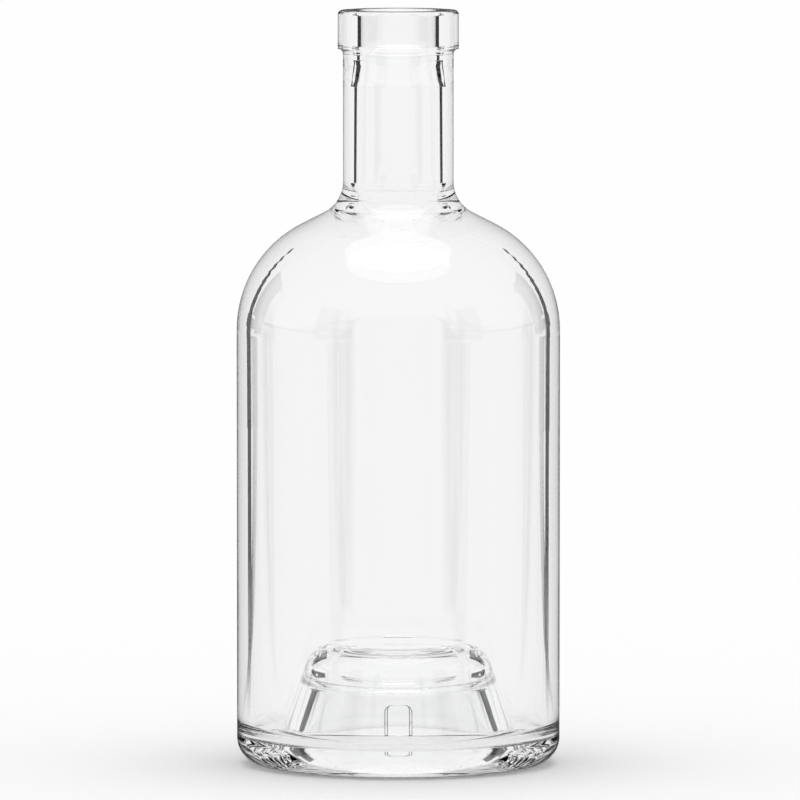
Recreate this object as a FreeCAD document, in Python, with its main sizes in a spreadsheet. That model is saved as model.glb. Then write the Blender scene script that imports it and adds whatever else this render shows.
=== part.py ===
import FreeCAD, Part
import math
import os

import Sketcher

# An empty spirits bottle blown in clear glass, all in one piece: a ring finish for a bar-top stopper, a
# straight neck, a round-shouldered cylindrical body, and a thick base with a deep flat-topped punt.
# Millimetres, +Z up. The bottle stands on the plane z = 0 with its axis on Z, and the centring notch
# in the wall of the punt's hollow is on the +Y side.

SIZES = [
    ("overall_height", 216.0, "standing plane to the rim of the mouth"),
    ("body_diameter", 92.5, "outside of the straight body"),
    ("neck_diameter", 31.6, "outside of the neck"),
    ("neck_height", 55.1, "rim of the mouth down to where neck and shoulder lines would meet"),
    ("neck_fillet", 10.0, "hollow curve from neck to shoulder"),
    ("shoulder_slope", 27.0, "degrees of the shoulder line above level"),
    ("shoulder_radius", 33.9, "outside curve from shoulder to body, at most three quarters of the body's"),
    ("heel_radius", 7.5, "outside curve from body to standing ring"),
    ("ring_projection", 1.5, "how far the finish ring stands out from the neck"),
    ("ring_height", 11.0, "finish ring, top to underside"),
    ("ring_corner", 1.2, "rounding of the ring's top outer edge"),
    ("ring_foot_corner", 0.6, "rounding of the ring's lower outer edge"),
    ("ring_root", 0.8, "hollow curve under the ring"),
    ("bore_diameter", 21.4, "mouth, sized for a standard stopper"),
    ("bore_depth", 14.9, "straight part of the mouth"),
    ("bore_lip", 0.8, "rounding of the mouth's inner edge"),
    ("neck_wall", 3.95, "glass of the neck below the mouth"),
    ("neck_step", 6.0, "height over which the mouth widens to the neck bore"),
    ("neck_step_radius", 9.0, "curves at both ends of that widening"),
    ("throat_flare", 0.3, "how much wider, each side, the neck is where it opens into the body"),
    ("throat_radius", 5.7, "inside curve from neck to shoulder"),
    ("shoulder_wall", 5.0, "glass at the shoulder line"),
    ("inner_shoulder_radius", 30.1, "inside curve from shoulder to body, limited in the same way"),
    ("side_wall", 3.6, "glass at the top of the body"),
    ("foot_wall", 4.7, "glass at the foot of the body"),
    ("floor_height", 7.4, "lowest inside point of the bottle"),
    ("inner_heel_radius", 5.4, "inside curve from side wall to floor, at most 0.72 of the floor's width"),
    ("floor_width", 7.5, "inside floor between the side wall and the punt's foot"),
    ("punt_height", 34.7, "top of the punt, inside the bottle"),
    ("punt_slant", 19.6, "degrees of the punt's side off vertical"),
    ("punt_foot_radius", 2.2, "hollow curve at the punt's foot"),
    ("punt_corner", 9.7, "rounding of the punt's top edge"),
    ("standing_ring", 7.8, "width of the flat ring that the bottle stands on"),
    ("crown_thickness", 11.8, "glass over the punt's hollow"),
    ("hollow_slant", 21.0, "degrees of the hollow's wall off vertical"),
    ("hollow_corner", 3.4, "rounding of the hollow's top edge"),
    ("disc_margin", 9.6, "hollow's wall line to the shallow moulded disc in its ceiling"),
    ("disc_depth", 0.6, "how far that disc is let into the ceiling"),
    ("notch_width", 8.3, "centring notch at the hollow's wall"),
    ("notch_height", 13.2, "standing plane to the top of the notch"),
    ("notch_corner", 2.0, "rounding of the notch's two top corners"),
    ("notch_depth", 2.2, "how far the notch goes into the hollow's wall"),
    ("notch_draft", 15.0, "degrees that the notch's sides close in"),
    ("notch_clear", 1.0, "how far inside the hollow's wall the cut for the notch starts"),
    ("notch_drop", 3.0, "how far below the standing plane the cut for the notch starts"),
]

# Places that follow from those sizes, as expressions over the sheet.
BODY_R = "sizes.body_diameter / 2"
NECK_R = "sizes.neck_diameter / 2"
RING_R = f"({NECK_R} + sizes.ring_projection)"
TOP = "sizes.overall_height"
RING_Z = "(sizes.overall_height - sizes.ring_height)"
NECK_Z = "(sizes.overall_height - sizes.neck_height)"
SLOPE = "tan(sizes.shoulder_slope * 1 deg)"
SHOULDER_Z = f"({NECK_Z} - ({BODY_R} - {NECK_R}) * {SLOPE})"
SHOULDER_ROUND = f"min(sizes.shoulder_radius; 0.75 * {BODY_R})"

BORE_R = "sizes.bore_diameter / 2"
NECK_BORE_R = f"({NECK_R} - sizes.neck_wall)"
THROAT_R = f"({NECK_BORE_R} + sizes.throat_flare)"
BORE_END_Z = "(sizes.overall_height - sizes.bore_depth)"
NECK_STEP_Z = f"({BORE_END_Z} - sizes.neck_step)"
WALL_DROP = "sizes.shoulder_wall / cos(sizes.shoulder_slope * 1 deg)"
INSIDE_R = f"({BODY_R} - sizes.side_wall)"
FOOT_R = f"({BODY_R} - sizes.foot_wall)"
THROAT_Z = f"({NECK_Z} + ({NECK_R} - {THROAT_R}) * {SLOPE} - {WALL_DROP})"
INNER_SHOULDER_Z = f"({NECK_Z} - ({INSIDE_R} - {NECK_R}) * {SLOPE} - {WALL_DROP})"
INNER_SHOULDER_ROUND = f"min(sizes.inner_shoulder_radius; 0.75 * {INSIDE_R})"
INNER_HEEL_ROUND = "min(sizes.inner_heel_radius; 0.72 * sizes.floor_width)"
PUNT_FOOT_R = f"({FOOT_R} - sizes.floor_width)"
PUNT_RISE = "(sizes.punt_height - sizes.floor_height)"
PUNT_TOP_R = f"({PUNT_FOOT_R} - {PUNT_RISE} * tan(sizes.punt_slant * 1 deg))"

RIM_R = f"({BODY_R} - sizes.heel_radius - sizes.standing_ring)"
CEILING_Z = "(sizes.punt_height - sizes.crown_thickness)"
HOLLOW_LEAN = "tan(sizes.hollow_slant * 1 deg)"
CEILING_R = f"({RIM_R} - {CEILING_Z} * {HOLLOW_LEAN})"
DISC_R = f"({CEILING_R} - sizes.disc_margin)"
DISC_Z = f"({CEILING_Z} + sizes.disc_depth)"

LEANING = "cos(sizes.hollow_slant * 1 deg)"
NOTCH_START_Y = f"({RIM_R} - sizes.notch_clear / {LEANING})"
NOTCH_LENGTH = "sizes.notch_clear + sizes.notch_depth"
NOTCH_RIGHT = "sizes.notch_width / 2"
NOTCH_LEFT = "-sizes.notch_width / 2"
NOTCH_TOP = f"sizes.notch_height / {LEANING}"
NOTCH_FOOT = f"-sizes.notch_drop / {LEANING}"

ORIGIN = (-1, 1)
LEVEL_AXIS = -1
UP_AXIS = -2
ZERO = "0"


def make_sheet(doc):
    sheet = doc.addObject("Spreadsheet::Sheet", "sizes")
    for row, (name, value, note) in enumerate(SIZES, start=1):
        sheet.set(f"A{row}", name)
        sheet.set(f"B{row}", str(value))
        sheet.setAlias(f"B{row}", name)
        sheet.set(f"C{row}", note)
    doc.recompute()
    return sheet


def number(sheet, expression):
    """What an expression over the sheet comes to now, as a plain number."""
    value = sheet.evalExpression(expression)
    return float(getattr(value, "Value", value))


def add_sketch(body, name):
    """A sketch in the body's XZ plane: its x is the distance from the axis and its y is the height."""
    sketch = body.newObject("Sketcher::SketchObject", name)
    plane = next(f for f in body.Origin.OriginFeatures if f.Role == "XZ_Plane")
    sketch.AttachmentSupport = (plane, [""])
    sketch.MapMode = "FlatFace"
    return sketch


def bind(sketch, constraint, name, expression):
    """Adds a dimension and ties it to its expression."""
    index = sketch.addConstraint(constraint)
    sketch.renameConstraint(index, name)
    sketch.setExpression(f"Constraints.{name}", expression)


def place_point(sketch, sheet, geo, pos, name, across, up):
    """Ties one sketch point to its distance from the axis and its height."""
    if across == ZERO:
        sketch.addConstraint(Sketcher.Constraint("PointOnObject", geo, pos, UP_AXIS))
    else:
        size = number(sheet, across)
        bind(sketch, Sketcher.Constraint("DistanceX", *ORIGIN, geo, pos, size), f"{name}_r", across)
    if up == ZERO:
        sketch.addConstraint(Sketcher.Constraint("PointOnObject", geo, pos, LEVEL_AXIS))
    else:
        size = number(sheet, up)
        bind(sketch, Sketcher.Constraint("DistanceY", *ORIGIN, geo, pos, size), f"{name}_z", up)


def corner_arc(before, corner, after, radius):
    """The arc that rounds a corner, its two ends in the outline's order, and whether it turns left."""
    back = (before - corner).normalize()
    ahead = (after - corner).normalize()
    half = back.getAngle(ahead) / 2
    reach = radius / math.tan(half)
    start = corner + back * reach
    end = corner + ahead * reach
    centre = corner + (back + ahead).normalize() * (radius / math.sin(half))
    left = (corner - before).cross(after - corner).z > 0
    first, last = (start, end) if left else (end, start)
    angles = [math.atan2(p.y - centre.y, p.x - centre.x) for p in (first, last)]
    circle = Part.Circle(centre, FreeCAD.Vector(0, 0, 1), radius)
    return Part.ArcOfCircle(circle, *angles), start, end, left


def rounded_outline(body, sheet, name, corners):
    """A closed outline through named corners (name, distance from axis, height, rounding or None).

    Each rounded corner keeps its sharp corner as a construction point, which carries the sizes.
    """
    sketch = add_sketch(body, name)
    points = [FreeCAD.Vector(number(sheet, r), number(sheet, z), 0) for _, r, z, _ in corners]
    count = len(corners)
    arcs = []
    starts, ends = list(points), list(points)
    for i, (_, _, _, rounding) in enumerate(corners):
        arc = None
        if rounding:
            radius = number(sheet, rounding)
            arc, ends[i], starts[i], left = corner_arc(points[i - 1], points[i], points[(i + 1) % count], radius)
            arc = (sketch.addGeometry(arc, False), left, radius)
        arcs.append(arc)
    lines = [
        sketch.addGeometry(Part.LineSegment(starts[i], ends[(i + 1) % count]), False)
        for i in range(count)
    ]
    for i, (label, across, up, rounding) in enumerate(corners):
        before, after = lines[i - 1], lines[i]
        if arcs[i] is None:
            sketch.addConstraint(Sketcher.Constraint("Coincident", before, 2, after, 1))
            place_point(sketch, sheet, after, 1, label, across, up)
            continue
        arc, left, radius = arcs[i]
        first, last = (1, 2) if left else (2, 1)
        sketch.addConstraint(Sketcher.Constraint("Tangent", before, 2, arc, first))
        sketch.addConstraint(Sketcher.Constraint("Tangent", arc, last, after, 1))
        corner = sketch.addGeometry(Part.Point(points[i]), True)
        sketch.addConstraint(Sketcher.Constraint("PointOnObject", corner, 1, before))
        sketch.addConstraint(Sketcher.Constraint("PointOnObject", corner, 1, after))
        place_point(sketch, sheet, corner, 1, label, across, up)
        bind(sketch, Sketcher.Constraint("Radius", arc, radius), f"{label}_round", rounding)
    return sketch


def turned(body, kind, name, sketch):
    """A Revolution or Groove of a sketch, all the way round the bottle's axis."""
    feature = body.newObject(f"PartDesign::{kind}", name)
    feature.Profile = sketch
    feature.ReferenceAxis = (sketch, ["V_Axis"])
    feature.Angle = 360.0
    sketch.Visibility = False
    return feature


def outside_corners():
    return [
        ("centre_foot", ZERO, ZERO, None),
        ("heel", BODY_R, ZERO, "sizes.heel_radius"),
        ("shoulder", BODY_R, SHOULDER_Z, SHOULDER_ROUND),
        ("neck", NECK_R, NECK_Z, "sizes.neck_fillet"),
        ("ring_root", NECK_R, RING_Z, "sizes.ring_root"),
        ("ring_foot", RING_R, RING_Z, "sizes.ring_foot_corner"),
        ("ring_top", RING_R, TOP, "sizes.ring_corner"),
        ("lip", BORE_R, TOP, "sizes.bore_lip"),
        ("bore_end", BORE_R, BORE_END_Z, None),
        ("centre_bore", ZERO, BORE_END_Z, None),
    ]


def inside_corners():
    return [
        ("centre_top", ZERO, TOP, None),
        ("punt_centre", ZERO, "sizes.punt_height", None),
        ("punt_top", PUNT_TOP_R, "sizes.punt_height", "sizes.punt_corner"),
        ("punt_foot", PUNT_FOOT_R, "sizes.floor_height", "sizes.punt_foot_radius"),
        ("inner_heel", FOOT_R, "sizes.floor_height", INNER_HEEL_ROUND),
        ("inner_shoulder", INSIDE_R, INNER_SHOULDER_Z, INNER_SHOULDER_ROUND),
        ("throat", THROAT_R, THROAT_Z, "sizes.throat_radius"),
        ("neck_bore", NECK_BORE_R, NECK_STEP_Z, "sizes.neck_step_radius"),
        ("bore_end", BORE_R, BORE_END_Z, "sizes.neck_step_radius"),
        ("bore_top", BORE_R, TOP, None),
    ]


def hollow_corners():
    return [
        ("centre_foot", ZERO, ZERO, None),
        ("rim", RIM_R, ZERO, None),
        ("ceiling", CEILING_R, CEILING_Z, "sizes.hollow_corner"),
        ("disc_edge", DISC_R, CEILING_Z, None),
        ("disc", DISC_R, DISC_Z, None),
        ("centre_disc", ZERO, DISC_Z, None),
    ]


def notch_corners():
    return [
        ("left_foot", NOTCH_LEFT, NOTCH_FOOT, None),
        ("right_foot", NOTCH_RIGHT, NOTCH_FOOT, None),
        ("right_top", NOTCH_RIGHT, NOTCH_TOP, "sizes.notch_corner"),
        ("left_top", NOTCH_LEFT, NOTCH_TOP, "sizes.notch_corner"),
    ]


def cut_notch(body, sheet):
    """The centring notch up the hollow's wall, drawn level with that wall and just inside it."""
    sketch = rounded_outline(body, sheet, "notch_outline", notch_corners())
    lean = FreeCAD.Rotation(FreeCAD.Vector(1, 0, 0), number(sheet, "sizes.hollow_slant"))
    sketch.AttachmentOffset = FreeCAD.Placement(FreeCAD.Vector(), lean)
    sketch.setExpression("AttachmentOffset.Base.z", f"-{NOTCH_START_Y}")
    sketch.setExpression("AttachmentOffset.Rotation.Angle", "sizes.hollow_slant * 1 deg")
    notch = body.newObject("PartDesign::Pocket", "notch")
    notch.Profile = sketch
    notch.Type = "Length"
    notch.setExpression("Length", NOTCH_LENGTH)
    notch.setExpression("TaperAngle", "-sizes.notch_draft")
    sketch.Visibility = False
    return notch


def must_cut(doc, before, feature):
    """Stops if a cut took no glass away."""
    doc.recompute()
    if not feature.Shape.Volume < before.Shape.Volume:
        raise RuntimeError(f"{feature.Name} cuts nothing")


def make_bottle(doc, sheet):
    body = doc.addObject("PartDesign::Body", "bottle_body")
    body.Label = "bottle"
    outline = rounded_outline(body, sheet, "outside_outline", outside_corners())
    outside = turned(body, "Revolution", "outside", outline)
    doc.recompute()

    outline = rounded_outline(body, sheet, "inside_outline", inside_corners())
    inside = turned(body, "Groove", "inside", outline)
    must_cut(doc, outside, inside)

    outline = rounded_outline(body, sheet, "hollow_outline", hollow_corners())
    hollow = turned(body, "Groove", "punt_hollow", outline)
    must_cut(doc, inside, hollow)

    notch = cut_notch(body, sheet)
    must_cut(doc, hollow, notch)
    return body


def check_document(doc, bodies):
    """Stops on any failed object, loose sketch or broken solid."""
    for item in doc.Objects:
        if {"Invalid", "Error"} & set(item.State):
            raise RuntimeError(f"{item.Name} failed: {item.State}")
        if item.TypeId == "Sketcher::SketchObject" and not item.FullyConstrained:
            raise RuntimeError(f"{item.Name} isn't fully constrained")
    for body in bodies:
        if body.Shape.isNull() or not body.Shape.isValid() or len(body.Shape.Solids) != 1:
            raise RuntimeError(f"{body.Label} isn't one valid solid")


def main():
    doc = FreeCAD.newDocument("glass_bottle")
    sheet = make_sheet(doc)
    bodies = [make_bottle(doc, sheet)]
    doc.recompute()
    check_document(doc, bodies)
    os.makedirs("parts", exist_ok=True)
    for body in bodies:
        body.Shape.exportStep(f"parts/{body.Label}.step")
        box = body.Shape.optimalBoundingBox()
        print(body.Label, f"{box.XLength:.2f} x {box.YLength:.2f} x {box.ZLength:.2f} mm", end=", ")
        print(f"{body.Shape.Volume / 1000:.1f} ml of glass")


main()
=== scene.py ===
import math

import bmesh
import bpy
from mathutils import Matrix, Vector


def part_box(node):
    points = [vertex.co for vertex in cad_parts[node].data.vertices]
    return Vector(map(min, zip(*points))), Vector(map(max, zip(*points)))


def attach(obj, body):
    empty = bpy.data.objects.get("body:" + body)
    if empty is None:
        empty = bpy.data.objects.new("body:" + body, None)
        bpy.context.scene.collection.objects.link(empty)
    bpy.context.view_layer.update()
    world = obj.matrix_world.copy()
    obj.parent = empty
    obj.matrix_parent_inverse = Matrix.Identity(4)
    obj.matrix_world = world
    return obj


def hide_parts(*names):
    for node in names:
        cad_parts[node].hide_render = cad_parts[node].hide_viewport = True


# An empty spirits bottle in clear glass, with its stage. Metres, +Z up, standing on z = 0 with its
# axis on Z and its front towards -Y. The bottle is one outline turned about that axis, with the
# centring notch cut out of the wall of the punt's hollow, at the back.

bl_info = {
    "name": "Clear glass bottle",
    "version": (1, 0, 0),
    "blender": (4, 5, 0),
    "location": "View3D > Sidebar > Bottle",
    "description": "Makes an empty clear glass spirits bottle with a deep punt, and its pale stage",
    "category": "Add Mesh",
}

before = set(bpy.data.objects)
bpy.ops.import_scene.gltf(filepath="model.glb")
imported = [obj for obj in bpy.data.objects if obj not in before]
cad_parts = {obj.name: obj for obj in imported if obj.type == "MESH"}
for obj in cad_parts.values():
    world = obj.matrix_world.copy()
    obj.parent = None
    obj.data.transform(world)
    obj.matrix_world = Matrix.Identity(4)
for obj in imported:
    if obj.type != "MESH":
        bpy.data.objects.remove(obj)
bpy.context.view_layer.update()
LOW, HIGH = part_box("bottle")

AXIS = Vector((0, 0, 1))
ACROSS = Vector((0, 1, 0))
MIDDLE = Vector((0, 0, 0))

SEGMENTS = 256
ARC_STEP = math.radians(4)
LEAST_ARC_STEPS = 3
MERGE = 1e-6
SHARP_ANGLE = math.radians(50)
WIDEST_FACE_LEADS = 100

# The outline's corner that the flat of the standing ring ends at, and the parts of that flat, which
# give the radial grooves their ends.
STANDING_CORNER = 5
STANDING_PARTS = 8

# Turns at which the rounding of the notch's edges is drawn, and the slot of the near-black glass
# they take, which is painted shade along those edges.
EDGE_TURNS = tuple(math.radians(turn) for turn in (0, 30, 60, 90))
EDGE_SHADE_SLOT = 1


def length(name, description, default):
    return bpy.props.FloatProperty(
        name=name, description=description, default=default, unit="LENGTH", precision=5
    )


def angle(name, description, degrees):
    return bpy.props.FloatProperty(
        name=name, description=description, default=math.radians(degrees), subtype="ANGLE"
    )


def number(name, description, default):
    return bpy.props.FloatProperty(name=name, description=description, default=default, precision=4)


def colour(name, description, default):
    return bpy.props.FloatVectorProperty(
        name=name, description=description, default=default, size=3, subtype="COLOR", min=0, max=1
    )


class BottleSizes(bpy.types.PropertyGroup):
    """Sizes of the glass, in metres."""

    height: length("Height", "Standing plane to the rim of the mouth", HIGH.z - LOW.z)
    body: length("Body", "Outside diameter of the straight body", HIGH.x - LOW.x)
    neck: length("Neck", "Outside diameter of the neck", 0.0316)
    neck_height: length("Neck height", "Rim down to where neck and shoulder lines meet", 0.0551)
    neck_fillet: length("Neck fillet", "Hollow curve from neck to shoulder", 0.010)
    slope: angle("Shoulder slope", "Shoulder line above level", 27)
    shoulder: length("Shoulder radius", "Outside curve from shoulder to body", 0.0339)
    heel: length("Heel radius", "Outside curve from body to standing ring", 0.0075)
    ring: length("Finish ring", "Outside diameter of the ring at the mouth", 0.0346)
    ring_height: length("Ring height", "Finish ring, top to underside", 0.011)
    ring_corner: length("Ring corner", "Rounding of the ring's top outer edge", 0.0012)
    ring_foot: length("Ring foot", "Rounding of the ring's lower outer edge", 0.0006)
    ring_root: length("Ring root", "Hollow curve under the ring", 0.0016)
    bore: length("Bore", "Diameter of the mouth", 0.0214)
    bore_depth: length("Bore depth", "Straight part of the mouth", 0.0149)
    bore_lip: length("Bore lip", "Rounding of the mouth's inner edge", 0.0008)
    neck_bore: length("Neck bore", "Inside diameter of the neck below the mouth", 0.0237)
    neck_step: length("Neck step", "Height over which the mouth widens to the neck bore", 0.006)
    neck_step_round: length("Step rounding", "Curves at both ends of that widening", 0.009)
    throat: length("Throat", "Inside diameter where the neck opens into the body", 0.0243)
    throat_round: length("Throat rounding", "Inside curve from neck to shoulder", 0.0057)
    shoulder_wall: length("Shoulder wall", "Glass at the shoulder line", 0.005)
    inner_shoulder: length("Inner shoulder", "Inside curve from shoulder to body", 0.0301)
    side_wall: length("Side wall", "Glass at the top of the body", 0.0036)
    foot_wall: length("Foot wall", "Glass at the foot of the body", 0.0047)
    floor: length("Floor", "Lowest inside point", 0.0074)
    inner_heel: length("Inner heel", "Inside curve from side wall to floor", 0.0054)
    floor_width: length("Floor width", "Inside floor between side wall and punt", 0.0075)
    punt: length("Punt", "Top of the punt, inside the bottle", 0.0347)
    punt_slant: angle("Punt slant", "Side of the punt off vertical", 19.6)
    punt_foot: length("Punt foot", "Hollow curve at the punt's foot", 0.0022)
    punt_corner: length("Punt corner", "Rounding of the punt's top edge", 0.0097)
    standing: length("Standing ring", "Width of the flat ring that it stands on", 0.0078)
    rim_round: length("Hollow rim", "Rounding where the standing ring meets the hollow", 0.0006)
    crown: length("Crown", "Glass over the punt's hollow", 0.0118)
    hollow_slant: angle("Hollow slant", "Wall of the hollow off vertical", 21)
    hollow_corner: length("Hollow corner", "Rounding of the hollow's top edge", 0.0034)
    disc: length("Disc", "Diameter of the shallow disc in the hollow's ceiling", 0.0252)
    disc_depth: length("Disc depth", "How far the disc is let into the ceiling", 0.0006)
    disc_round: length("Disc rounding", "Rounding of the disc's two edges", 0.00025)
    notch: length("Notch width", "Width of the centring notch", 0.0083)
    notch_height: length("Notch height", "Standing plane to the top of the notch", 0.0132)
    notch_corner: length("Notch corner", "Rounding of the notch's top corners", 0.002)
    notch_depth: length("Notch depth", "How far the notch goes into the hollow's wall", 0.0022)
    notch_draft: angle("Notch draft", "How much the notch's sides close in", 15)
    notch_edge: length("Notch edge", "Rounding of the notch's edges", 0.00025)
    notch_clear: length("Notch clear", "How far inside the wall its cutter starts", 0.001)
    notch_drop: length("Notch drop", "How far below the standing plane its cutter starts", 0.003)
    knurl_depth: length("Knurl depth", "Depth of the radial grooves in the standing ring", 0.00015)
    knurl_margin: length("Knurl margin", "Plain ring on both sides of the grooves", 0.0012)


class GlassLook(bpy.types.PropertyGroup):
    """Look of the clear glass."""

    clear: colour("Clear", "Colour of the glass face on", (0.990, 0.993, 0.991))
    streak: colour("Streak", "Colour of its faint streaks", (0.978, 0.982, 0.980))
    # Rim is painted shade: the glass greys edge on, which stands in for the dark outlines that
    # refraction gives at its silhouettes.
    rim: colour("Rim", "Colour of the glass edge on", (0.6, 0.6, 0.6))
    # The notch's edge colour is painted shade: near-black glass along its roundings, standing in
    # for the darkness that refraction gives there.
    edge_shade: colour("Moulded edge", "Colour of the notch's hard edges", (0.03, 0.03, 0.03))
    rim_shade_start: number("Rim start", "How edge on the glass is where that colour begins", 0.9)
    ior: number("IOR", "How much the glass bends light", 1.52)
    wave_scale: number("Wave scale", "Faint waves left by blowing, per metre", 28)
    wave_height: number("Wave height", "Strength of those waves", 0.02)
    wave_depth: length("Wave depth", "Depth of a wave at full strength", 0.001)


class StageLook(bpy.types.PropertyGroup):
    """Floor, lights, cards and camera."""

    floor: colour("Floor", "Colour of the pale floor", (0.99, 0.99, 0.99))
    lit_floor: colour("Lit floor", "The floor's light through glass", (0.97, 0.97, 0.97))
    floor_light: number("Floor light", "Share of that light in the floor through glass", 0.8)
    mirrored: colour("Mirrored", "Studio that the bottle's surface mirrors", (0.05, 0.05, 0.05))
    floor_gap: length("Floor gap", "Air under the standing ring", 0.0002)
    floor_reach: length("Floor reach", "Middle of the floor to its sides", 12)
    ambient: number("Ambient", "Light from all round on matt surfaces", 0.8)
    sun: number("Overhead", "Strength of the soft light overhead", 0.63)
    sun_angle: angle("Overhead size", "How wide that light looks", 50)
    card_distance: length("Card distance", "Axis to the dark cards", 1.0)
    neck_distance: length("Neck card distance", "Axis to the dark cards for the neck", 0.5)
    near_distance: length("Near card distance", "Axis to the nearest dark cards", 0.25)
    slat_pitch: length("Slat pitch", "Between the low slats on the floor", 0.003)
    slat_height: length("Slat height", "Height of the farther slats", 0.00039)
    slat_start: length("Slat start", "Bottle's side to the nearest slat", 0.09)
    slat_rise: length("Slat rise", "How soon the slats reach their full height", 0.25)
    camera_distance: length("Camera distance", "Axis to the camera, level", 2.978)
    camera_height: length("Camera height", "Standing plane to the camera", 0.3336)
    aim_height: length("Aim height", "Where the camera points on the axis", 0.1043)
    aim_side: length("Aim side", "How far right of the axis the camera points", 0.00049)
    view_width: length("View width", "What the camera takes in at the bottle", 0.2291)


def hollow_rim(size):
    """Distance from the axis to where the standing ring meets the punt's hollow."""
    return size.body / 2 - size.heel - size.standing


def outline_corners(size):
    """The bottle's half outline, from the middle of the punt's hollow round to the top of the punt.

    Each corner is its distance from the axis, its height and its rounding.
    """
    body, neck, ring, bore = size.body / 2, size.neck / 2, size.ring / 2, size.bore / 2
    rise = math.tan(size.slope)
    lean = math.tan(size.hollow_slant)
    ceiling = size.punt - size.crown
    rim = hollow_rim(size)
    disc = size.disc / 2
    neck_foot = size.height - size.neck_height
    ring_foot = size.height - size.ring_height
    bore_end = size.height - size.bore_depth
    wall_drop = size.shoulder_wall / math.cos(size.slope)
    inside, foot = body - size.side_wall, body - size.foot_wall
    punt_foot = foot - size.floor_width
    punt_top = punt_foot - (size.punt - size.floor) * math.tan(size.punt_slant)
    throat = size.throat / 2

    def shoulder_line(radius):
        return neck_foot - (radius - neck) * rise

    return [
        (0, ceiling + size.disc_depth, 0),
        (disc, ceiling + size.disc_depth, size.disc_round),
        (disc, ceiling, size.disc_round),
        (rim - ceiling * lean, ceiling, size.hollow_corner),
        (rim, 0, size.rim_round),
        (body, 0, size.heel),
        (body, shoulder_line(body), size.shoulder),
        (neck, neck_foot, size.neck_fillet),
        (neck, ring_foot, size.ring_root),
        (ring, ring_foot, size.ring_foot),
        (ring, size.height, size.ring_corner),
        (bore, size.height, size.bore_lip),
        (bore, bore_end, size.neck_step_round),
        (size.neck_bore / 2, bore_end - size.neck_step, size.neck_step_round),
        (throat, shoulder_line(throat) - wall_drop, size.throat_round),
        (inside, shoulder_line(inside) - wall_drop, size.inner_shoulder),
        (foot, size.floor, size.inner_heel),
        (punt_foot, size.floor, size.punt_foot),
        (punt_top, size.punt, size.punt_corner),
        (0, size.punt, 0),
    ]


class Pen:
    """Draws an outline in the XZ plane of a bmesh, from one vertex on."""

    def __init__(self, bm, start):
        self.bm = bm
        self.tip = bm.verts.new(start)

    def line(self, end, steps=1):
        """Draws straight on to a point."""
        stride = (end - self.tip.co) / steps
        for _ in range(steps):
            made = bmesh.ops.extrude_vert_indiv(self.bm, verts=[self.tip])
            self.tip = made["verts"][0]
            bmesh.ops.translate(self.bm, verts=[self.tip], vec=stride)

    def arc(self, centre, turn):
        """Draws on round a centre."""
        steps = max(LEAST_ARC_STEPS, round(abs(turn) / ARC_STEP))
        made = bmesh.ops.spin(
            self.bm, geom=[self.tip], cent=centre, axis=ACROSS, angle=turn, steps=steps
        )
        self.tip = next(v for v in made["geom_last"] if isinstance(v, bmesh.types.BMVert))


def draw_outline(bm, corners, steps):
    """Joins corners (distance, height, rounding) by straight runs and round turns.

    steps holds how many parts a run is split into, by the number of the corner it ends at.
    """
    points = [Vector((r, 0, z)) for r, z, _ in corners]
    pen = Pen(bm, points[0])
    for i, (_, _, rounding) in enumerate(corners[1:], start=1):
        if not rounding:
            pen.line(points[i], steps.get(i, 1))
            continue
        back = (points[i - 1] - points[i]).normalized()
        ahead = (points[i + 1] - points[i]).normalized()
        half = back.angle(ahead) / 2
        pen.line(points[i] + back * rounding / math.tan(half), steps.get(i, 1))
        centre = points[i] + (back + ahead).normalized() * rounding / math.sin(half)
        turn = math.pi - 2 * half
        pen.arc(centre, math.copysign(turn, ahead.cross(back).y))


def turn_round(bm):
    """Spins everything in the bmesh into a closed round body, with its poles and normals tidy."""
    bmesh.ops.spin(
        bm,
        geom=bm.verts[:] + bm.edges[:],
        cent=(0, 0, 0),
        axis=AXIS,
        angle=math.tau,
        steps=SEGMENTS,
        use_merge=True,
    )
    bmesh.ops.remove_doubles(bm, verts=bm.verts[:], dist=MERGE)
    bmesh.ops.recalc_face_normals(bm, faces=bm.faces[:])


def cut_knurls(bm, size):
    """Presses short radial grooves into the standing ring, at every second spun step."""
    inner = hollow_rim(size) + size.knurl_margin
    outer = size.body / 2 - size.heel - size.knurl_margin
    pitch = math.tau / SEGMENTS
    grooves = [
        v
        for v in bm.verts
        if abs(v.co.z) < MERGE
        and inner < v.co.to_2d().length < outer
        and round(math.atan2(v.co.y, v.co.x) / pitch) % 2
    ]
    bmesh.ops.translate(bm, verts=grooves, vec=(0, 0, size.knurl_depth))


def mesh_object(bm, name):
    """Turns a bmesh into an object in the scene."""
    mesh = bpy.data.meshes.new(name)
    bm.to_mesh(mesh)
    bm.free()
    piece = bpy.data.objects.new(name, mesh)
    bpy.context.scene.collection.objects.link(piece)
    return piece


def notch_layers(size, wall, depth):
    """The notch cutter's layers: how far in each one is, and how far its outline stands out."""
    edge = size.notch_edge
    close = -math.tan(size.notch_draft) * (size.notch_depth - edge)
    mouth = [(wall + edge - edge * math.cos(a), edge - edge * math.sin(a)) for a in EDGE_TURNS]
    end = [
        (depth - edge + edge * math.sin(a), close - edge + edge * math.cos(a)) for a in EDGE_TURNS
    ]
    return [(0, edge), *mouth, *end]


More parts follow.
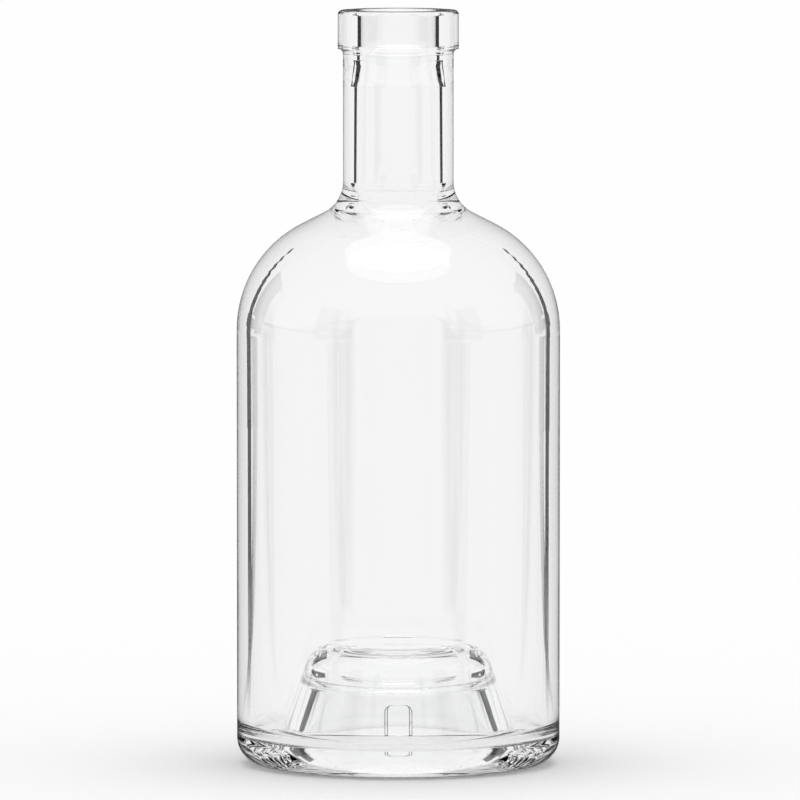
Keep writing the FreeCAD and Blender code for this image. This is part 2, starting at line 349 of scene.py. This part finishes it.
def notch_cutter(size):
    """The plug that is cut out for the centring notch, level with the hollow's leaning wall."""
    rim = hollow_rim(size)
    leaning = math.cos(size.hollow_slant)
    half, corner = size.notch / 2, size.notch_corner
    top, foot = size.notch_height / leaning, -size.notch_drop / leaning
    bm = bmesh.new()
    pen = Pen(bm, (half, 0, foot))
    pen.line(Vector((half, 0, top - corner)))
    pen.arc(Vector((half - corner, 0, top - corner)), -math.pi / 2)
    pen.line(Vector((corner - half, 0, top)))
    pen.arc(Vector((corner - half, 0, top - corner)), -math.pi / 2)
    pen.line(Vector((-half, 0, foot)))
    end = bmesh.ops.contextual_create(bm, geom=bm.verts[:])["faces"]

    # The arch goes in layer by layer, each one scaled about the middle of its height.
    centre = (top + foot) / 2
    reach = top - centre
    level = Matrix.Translation((0, 0, -centre))
    edge = size.notch_edge
    wall, depth = size.notch_clear, size.notch_clear + size.notch_depth
    layers = notch_layers(size, wall, depth)
    swell = (1 + edge / half, 1, 1 + edge / reach)
    bmesh.ops.scale(bm, verts=bm.verts[:], vec=swell, space=level)
    for (y0, out0), (y1, out1) in zip(layers, layers[1:]):
        made = bmesh.ops.extrude_face_region(bm, geom=end)
        if y0 > 0:
            bmesh.ops.delete(bm, geom=end, context="FACES_ONLY")
        back = [v for v in made["geom"] if isinstance(v, bmesh.types.BMVert)]
        end = [f for f in made["geom"] if isinstance(f, bmesh.types.BMFace)]
        bmesh.ops.translate(bm, verts=back, vec=(0, y1 - y0, 0))
        shrink = ((half + out1) / (half + out0), 1, (reach + out1) / (reach + out0))
        bmesh.ops.scale(bm, verts=back, vec=shrink, space=level)

    # Its roundings leave near-black glass on the bottle, painted shade along the notch's edges.
    for side in bm.faces:
        inwards = side.calc_center_median().y
        if wall < inwards < wall + edge or depth - edge < inwards < depth:
            side.material_index = EDGE_SHADE_SLOT

    # It bends with the round wall, leans with it and moves out to it.
    for corner in bm.verts:
        corner.co.y -= corner.co.x ** 2 / (2 * rim)
    lean = Matrix.Rotation(size.hollow_slant, 3, "X")
    bmesh.ops.rotate(bm, verts=bm.verts[:], matrix=lean)
    start = Vector((0, rim - size.notch_clear / leaning, 0))
    bmesh.ops.translate(bm, verts=bm.verts[:], vec=start)
    bmesh.ops.recalc_face_normals(bm, faces=bm.faces[:])
    return mesh_object(bm, "notch_cutter")


def settle(piece):
    """Makes what a piece's modifiers give its own mesh, and takes them off."""
    shape = piece.evaluated_get(bpy.context.evaluated_depsgraph_get())
    mesh = bpy.data.meshes.new_from_object(shape)
    piece.modifiers.clear()
    rough = piece.data
    piece.data = mesh
    bpy.data.meshes.remove(rough)
    mesh.name = piece.name


def cut_out(piece, cutter):
    """Takes a cutter's shape out of a piece."""
    cut = piece.modifiers.new("cut", "BOOLEAN")
    cut.operation = "DIFFERENCE"
    cut.solver = "EXACT"
    cut.object = cutter
    settle(piece)
    bpy.data.meshes.remove(cutter.data)


def shade_smooth(piece):
    """Smooth shading that stays true on the long straight runs, where they meet small roundings."""
    piece.data.polygons.foreach_set("use_smooth", [True] * len(piece.data.polygons))
    piece.data.set_sharp_from_angle(angle=SHARP_ANGLE)
    true = piece.modifiers.new("true", "WEIGHTED_NORMAL")
    true.weight = WIDEST_FACE_LEADS
    true.keep_sharp = True
    settle(piece)


def polished_glass(name, look):
    """Smooth glass, and the shader that gives it."""
    material = bpy.data.materials.new(name)
    material.use_nodes = True
    shader = material.node_tree.nodes["Principled BSDF"]
    shader.inputs["Roughness"].default_value = 0.0
    shader.inputs["IOR"].default_value = look.ior
    shader.inputs["Transmission Weight"].default_value = 1.0
    return material, shader


def glass_material(look):
    """Clear glass with a breath of tint and the faint waves of blown glass, greyed edge on as
    painted shade at its silhouettes.
    """
    material, shader = polished_glass("clear_glass", look)
    nodes, links = material.node_tree.nodes, material.node_tree.links
    place = nodes.new("ShaderNodeTexCoord")
    waves = nodes.new("ShaderNodeTexNoise")
    waves.inputs["Scale"].default_value = look.wave_scale
    waves.inputs["Detail"].default_value = 1.0
    links.new(place.outputs["Object"], waves.inputs["Vector"])

    bump = nodes.new("ShaderNodeBump")
    bump.inputs["Strength"].default_value = look.wave_height
    bump.inputs["Distance"].default_value = look.wave_depth
    links.new(waves.outputs["Fac"], bump.inputs["Height"])
    links.new(bump.outputs["Normal"], shader.inputs["Normal"])

    streaks = nodes.new("ShaderNodeMix")
    streaks.data_type = "RGBA"
    streaks.inputs["A"].default_value = (*look.clear, 1)
    streaks.inputs["B"].default_value = (*look.streak, 1)
    links.new(waves.outputs["Fac"], streaks.inputs["Factor"])

    # Painted shade: edge on, the glass's colour goes to the rim grey, standing in for the dark
    # outlines at its silhouettes.
    edge = nodes.new("ShaderNodeLayerWeight")
    rim = nodes.new("ShaderNodeMapRange")
    rim.inputs["From Min"].default_value = look.rim_shade_start
    links.new(edge.outputs["Facing"], rim.inputs["Value"])
    tint = nodes.new("ShaderNodeMix")
    tint.data_type = "RGBA"
    tint.inputs["B"].default_value = (*look.rim, 1)
    links.new(rim.outputs["Result"], tint.inputs["Factor"])
    links.new(streaks.outputs["Result"], tint.inputs["A"])
    links.new(tint.outputs["Result"], shader.inputs["Base Color"])
    return material


def edge_shade_material(look):
    """The same glass, nearly black: painted shade along the notch's rounded edges, where refraction
    darkens them.
    """
    material, shader = polished_glass("notch_edge_shade", look)
    # Painted shade: a near-black colour that stands in for the dark edges that refraction draws at
    # the notch.
    shader.inputs["Base Color"].default_value = (*look.edge_shade, 1)
    return material


class BOTTLE_OT_glass(bpy.types.Operator):
    """Make the glass bottle"""

    bl_idname = "bottle.glass"
    bl_label = "Glass bottle"

    def execute(self, context):
        size = context.scene.bottle_sizes
        bm = bmesh.new()
        draw_outline(bm, outline_corners(size), steps={STANDING_CORNER: STANDING_PARTS})
        turn_round(bm)
        cut_knurls(bm, size)
        piece = mesh_object(bm, "glass_bottle")
        cutter = notch_cutter(size)
        look = context.scene.glass_look
        for glass in (glass_material(look), edge_shade_material(look)):
            piece.data.materials.append(glass)
            cutter.data.materials.append(glass)
        cut_out(piece, cutter)
        shade_smooth(piece)
        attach(piece, "root")
        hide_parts("bottle")
        return {"FINISHED"}


def matt(name, tone):
    """A plain matt material."""
    material = bpy.data.materials.new(name)
    material.use_nodes = True
    shader = material.node_tree.nodes["Principled BSDF"]
    shader.inputs["Base Color"].default_value = (*tone, 1)
    shader.inputs["Roughness"].default_value = 1.0
    shader.inputs["Specular IOR Level"].default_value = 0.0
    return material


def blend(nodes, links, amount, first, second):
    """A surface that goes from the first to the second as the amount goes from 0 to 1."""
    mix = nodes.new("ShaderNodeMixShader")
    links.new(amount, mix.inputs["Fac"])
    links.new(first, mix.inputs[1])
    links.new(second, mix.inputs[2])
    return mix.outputs["Shader"]


def card_material():
    """Black, and clear to light that the glass has not reflected even once."""
    material = matt("dark_card", (0, 0, 0))
    nodes, links = material.node_tree.nodes, material.node_tree.links
    path = nodes.new("ShaderNodeLightPath")
    turned = nodes.new("ShaderNodeMath")
    turned.operation = "MINIMUM"
    links.new(path.outputs["Glossy Depth"], turned.inputs[0])
    turned.inputs[1].default_value = 1.0
    clear = nodes.new("ShaderNodeBsdfTransparent").outputs["BSDF"]
    black = nodes["Principled BSDF"].outputs["BSDF"]
    seen = blend(nodes, links, turned.outputs["Value"], clear, black)
    links.new(seen, nodes["Material Output"].inputs["Surface"])
    return material


def seen_reflected(nodes, links):
    """The light path, and 1 where it is a mirror reflection that never went through the glass."""
    path = nodes.new("ShaderNodeLightPath")
    seen = path.outputs["Is Reflection Ray"]
    for other in ("Is Diffuse Ray", "Transmission Depth"):
        mirror = nodes.new("ShaderNodeMath")
        mirror.operation = "SUBTRACT"
        mirror.use_clamp = True
        links.new(seen, mirror.inputs[0])
        links.new(path.outputs[other], mirror.inputs[1])
        seen = mirror.outputs["Value"]
    return path, seen


def floor_material(look):
    """Pale, partly lit where glass shows it, and dark where the bottle's surface mirrors it."""
    material = matt("pale_floor", look.floor)
    nodes, links = material.node_tree.nodes, material.node_tree.links
    lit = nodes.new("ShaderNodeEmission")
    lit.inputs["Color"].default_value = (*look.lit_floor, 1)
    mirrored = nodes.new("ShaderNodeBsdfDiffuse")
    mirrored.inputs["Color"].default_value = (*look.mirrored, 1)
    path, seen = seen_reflected(nodes, links)
    share = nodes.new("ShaderNodeMath")
    share.operation = "MULTIPLY"
    share.inputs[1].default_value = look.floor_light
    links.new(path.outputs["Is Transmission Ray"], share.inputs[0])
    surface = nodes["Principled BSDF"].outputs["BSDF"]
    surface = blend(nodes, links, share.outputs["Value"], surface, lit.outputs["Emission"])
    surface = blend(nodes, links, seen, surface, mirrored.outputs["BSDF"])
    links.new(surface, nodes["Material Output"].inputs["Surface"])
    return material


def make_floor(look):
    """A wide pale floor just under the bottle."""
    bm = bmesh.new()
    bmesh.ops.create_grid(bm, x_segments=1, y_segments=1, size=look.floor_reach)
    bmesh.ops.translate(bm, verts=bm.verts[:], vec=(0, 0, -look.floor_gap))
    floor = mesh_object(bm, "stage_floor")
    floor.data.materials.append(floor_material(look))


# Dark cards round the bottle, each by its first and last bearing off straight behind, in degrees,
# and its lowest and highest edge, in metres. They are mirrored left to right and turned round to
# the front, and the body's go to both sides too. The near card is only mirrored.
BODY_CARDS = (
    (35.7, 44.0, 0.0, 0.10),
    (44.0, 52.0, 0.055, 0.10),
    (35.2, 42.0, 0.178, 0.28),
    (34.8, 41.0, 0.28, 0.38),
    (34.3, 40.0, 0.38, 0.44),
    (33.0, 38.5, 0.44, 0.50),
    (31.2, 37.0, 0.50, 0.54),
    (29.6, 34.0, 0.54, 0.59),
    (27.2, 31.0, 0.59, 0.63),
    (24.0, 27.5, 0.63, 0.67),
    (43.0, 56.0, 0.18, 0.25),
)
NECK_CARDS = (
    (51.2, 62.7, 0.140, 0.1845),
    (58.2, 89.0, 0.1855, 0.200),
    (45.5, 64.0, 0.200, 0.415),
)
NEAR_CARD = (43.1, 51.4, 0.100, 0.146)
BODY_CARD_STEPS = 4
NECK_CARD_STEPS = 8

# Low slats on the floor between those bearings, counted from a point at the bottle's side.
SLAT_BEARINGS = (34.5, 41.5)
SLAT_STEPS = 3
BODY_SIDE = 0.0425


def bend_card(bm, centre, distance, bearings, low, high, steps):
    """A strip that stands at one distance round a point, from one bearing to another."""
    start, end = (math.radians(b) for b in bearings)
    foot = centre + Vector((math.sin(start), math.cos(start), 0)) * distance
    edge = [bm.verts.new(foot + AXIS * h) for h in (low, high)]
    line = bm.edges.new(edge)
    bmesh.ops.spin(
        bm, geom=edge + [line], cent=centre, axis=AXIS, angle=start - end, steps=steps
    )


def repeat(bm, turns):
    """Adds a copy of everything in the bmesh for each turn or mirroring in a row."""
    for turn in turns:
        made = bmesh.ops.duplicate(bm, geom=bm.verts[:] + bm.edges[:] + bm.faces[:])
        fresh = [v for v in made["geom"] if isinstance(v, bmesh.types.BMVert)]
        bmesh.ops.transform(bm, matrix=turn, verts=fresh)


def make_cards(look):
    """Dark cards round the bottle, which only the glass sees: they draw its edges."""
    bm = bmesh.new()
    far, neck, near = look.card_distance, look.neck_distance, look.near_distance
    for start, end, low, high in BODY_CARDS:
        bend_card(bm, MIDDLE, far, (start, end), low, high, BODY_CARD_STEPS)
    side = Vector((BODY_SIDE, 0, 0))
    reach = look.slat_start + look.slat_pitch
    while reach < far:
        grown = 1 - math.exp((look.slat_start - reach) / look.slat_rise)
        bend_card(bm, side, reach, SLAT_BEARINGS, 0, look.slat_height * grown, SLAT_STEPS)
        reach += look.slat_pitch
    swap = Matrix(((0, 1, 0, 0), (1, 0, 0, 0), (0, 0, 1, 0), (0, 0, 0, 1)))
    repeat(bm, [swap])
    for start, end, low, high in NECK_CARDS:
        bend_card(bm, MIDDLE, neck, (start, end), low, high, NECK_CARD_STEPS)
    repeat(bm, [Matrix.Scale(-1, 4, (1, 0, 0)), Matrix.Rotation(math.pi, 4, "Z")])
    start, end, low, high = NEAR_CARD
    for turn in (1, -1):
        bend_card(bm, MIDDLE, near, (turn * start, turn * end), low, high, BODY_CARD_STEPS)
    cards = mesh_object(bm, "stage_cards")
    cards.data.materials.append(card_material())
    cards.visible_camera = False
    cards.visible_diffuse = False
    cards.visible_shadow = False


def light_world(look):
    """White behind the bottle, dark where its surface mirrors it, and even on matt things."""
    world = bpy.data.worlds.new("studio")
    bpy.context.scene.world = world
    world.use_nodes = True
    nodes, links = world.node_tree.nodes, world.node_tree.links
    backdrop = nodes["Background"]
    backdrop.inputs["Color"].default_value = (1, 1, 1, 1)
    mirrored = nodes.new("ShaderNodeBackground")
    mirrored.inputs["Color"].default_value = (*look.mirrored, 1)
    even = nodes.new("ShaderNodeBackground")
    even.inputs["Color"].default_value = (1, 1, 1, 1)
    even.inputs["Strength"].default_value = look.ambient
    path, seen = seen_reflected(nodes, links)
    sky = backdrop.outputs["Background"]
    sky = blend(nodes, links, seen, sky, mirrored.outputs["Background"])
    sky = blend(nodes, links, path.outputs["Is Diffuse Ray"], sky, even.outputs["Background"])
    links.new(sky, nodes["World Output"].inputs["Surface"])


# The nearest and the farthest that the camera shows.
CAMERA_CLIP = (0.1, 50)

# Thick glass passes one ray through many faces before the ray is clear of it.
ALL_BOUNCES = 24
MIRROR_BOUNCES = 16
GLASS_BOUNCES = 20


def light_overhead(look):
    """One wide soft light from above, which gives the bottle its contact shadow."""
    lamp = bpy.data.lights.new("overhead", "SUN")
    lamp.energy = look.sun
    lamp.angle = look.sun_angle
    bpy.context.scene.collection.objects.link(bpy.data.objects.new("overhead", lamp))


def place_camera(look):
    """The camera in front of the bottle and above it, looking slightly down."""
    camera = bpy.data.objects.new("camera", bpy.data.cameras.new("camera"))
    bpy.context.scene.collection.objects.link(camera)
    aim = Vector((look.aim_side, 0, look.aim_height))
    camera.location = (look.aim_side, -look.camera_distance, look.camera_height)
    reach = aim - camera.location
    camera.rotation_euler = reach.to_track_quat("-Z", "Y").to_euler()
    camera.data.lens = camera.data.sensor_width * reach.length / look.view_width
    camera.data.clip_start, camera.data.clip_end = CAMERA_CLIP
    bpy.context.scene.camera = camera


class BOTTLE_OT_stage(bpy.types.Operator):
    """Make the pale floor, the lights, the dark cards and the camera"""

    bl_idname = "bottle.stage"
    bl_label = "Stage"

    def execute(self, context):
        look = context.scene.stage_look
        make_floor(look)
        make_cards(look)
        light_world(look)
        light_overhead(look)
        place_camera(look)
        context.scene.view_settings.view_transform = "Standard"
        context.scene.cycles.max_bounces = ALL_BOUNCES
        context.scene.cycles.glossy_bounces = MIRROR_BOUNCES
        context.scene.cycles.transmission_bounces = GLASS_BOUNCES
        return {"FINISHED"}


class BOTTLE_PT_panel(bpy.types.Panel):
    """Lists the bottle's pieces"""

    bl_idname = "BOTTLE_PT_panel"
    bl_label = "Glass bottle"
    bl_space_type = "VIEW_3D"
    bl_region_type = "UI"
    bl_category = "Bottle"

    def draw(self, context):
        for operator in (BOTTLE_OT_glass, BOTTLE_OT_stage):
            self.layout.operator(operator.bl_idname)


CLASSES = (
    BottleSizes,
    GlassLook,
    StageLook,
    BOTTLE_OT_glass,
    BOTTLE_OT_stage,
    BOTTLE_PT_panel,
)


def register():
    for item in CLASSES:
        bpy.utils.register_class(item)
    bpy.types.Scene.bottle_sizes = bpy.props.PointerProperty(type=BottleSizes)
    bpy.types.Scene.glass_look = bpy.props.PointerProperty(type=GlassLook)
    bpy.types.Scene.stage_look = bpy.props.PointerProperty(type=StageLook)


def unregister():
    del bpy.types.Scene.bottle_sizes
    del bpy.types.Scene.glass_look
    del bpy.types.Scene.stage_look
    for item in reversed(CLASSES):
        bpy.utils.unregister_class(item)


def main():
    register()
    bpy.ops.bottle.glass()
    bpy.ops.bottle.stage()


if __name__ == "__main__":
    main()
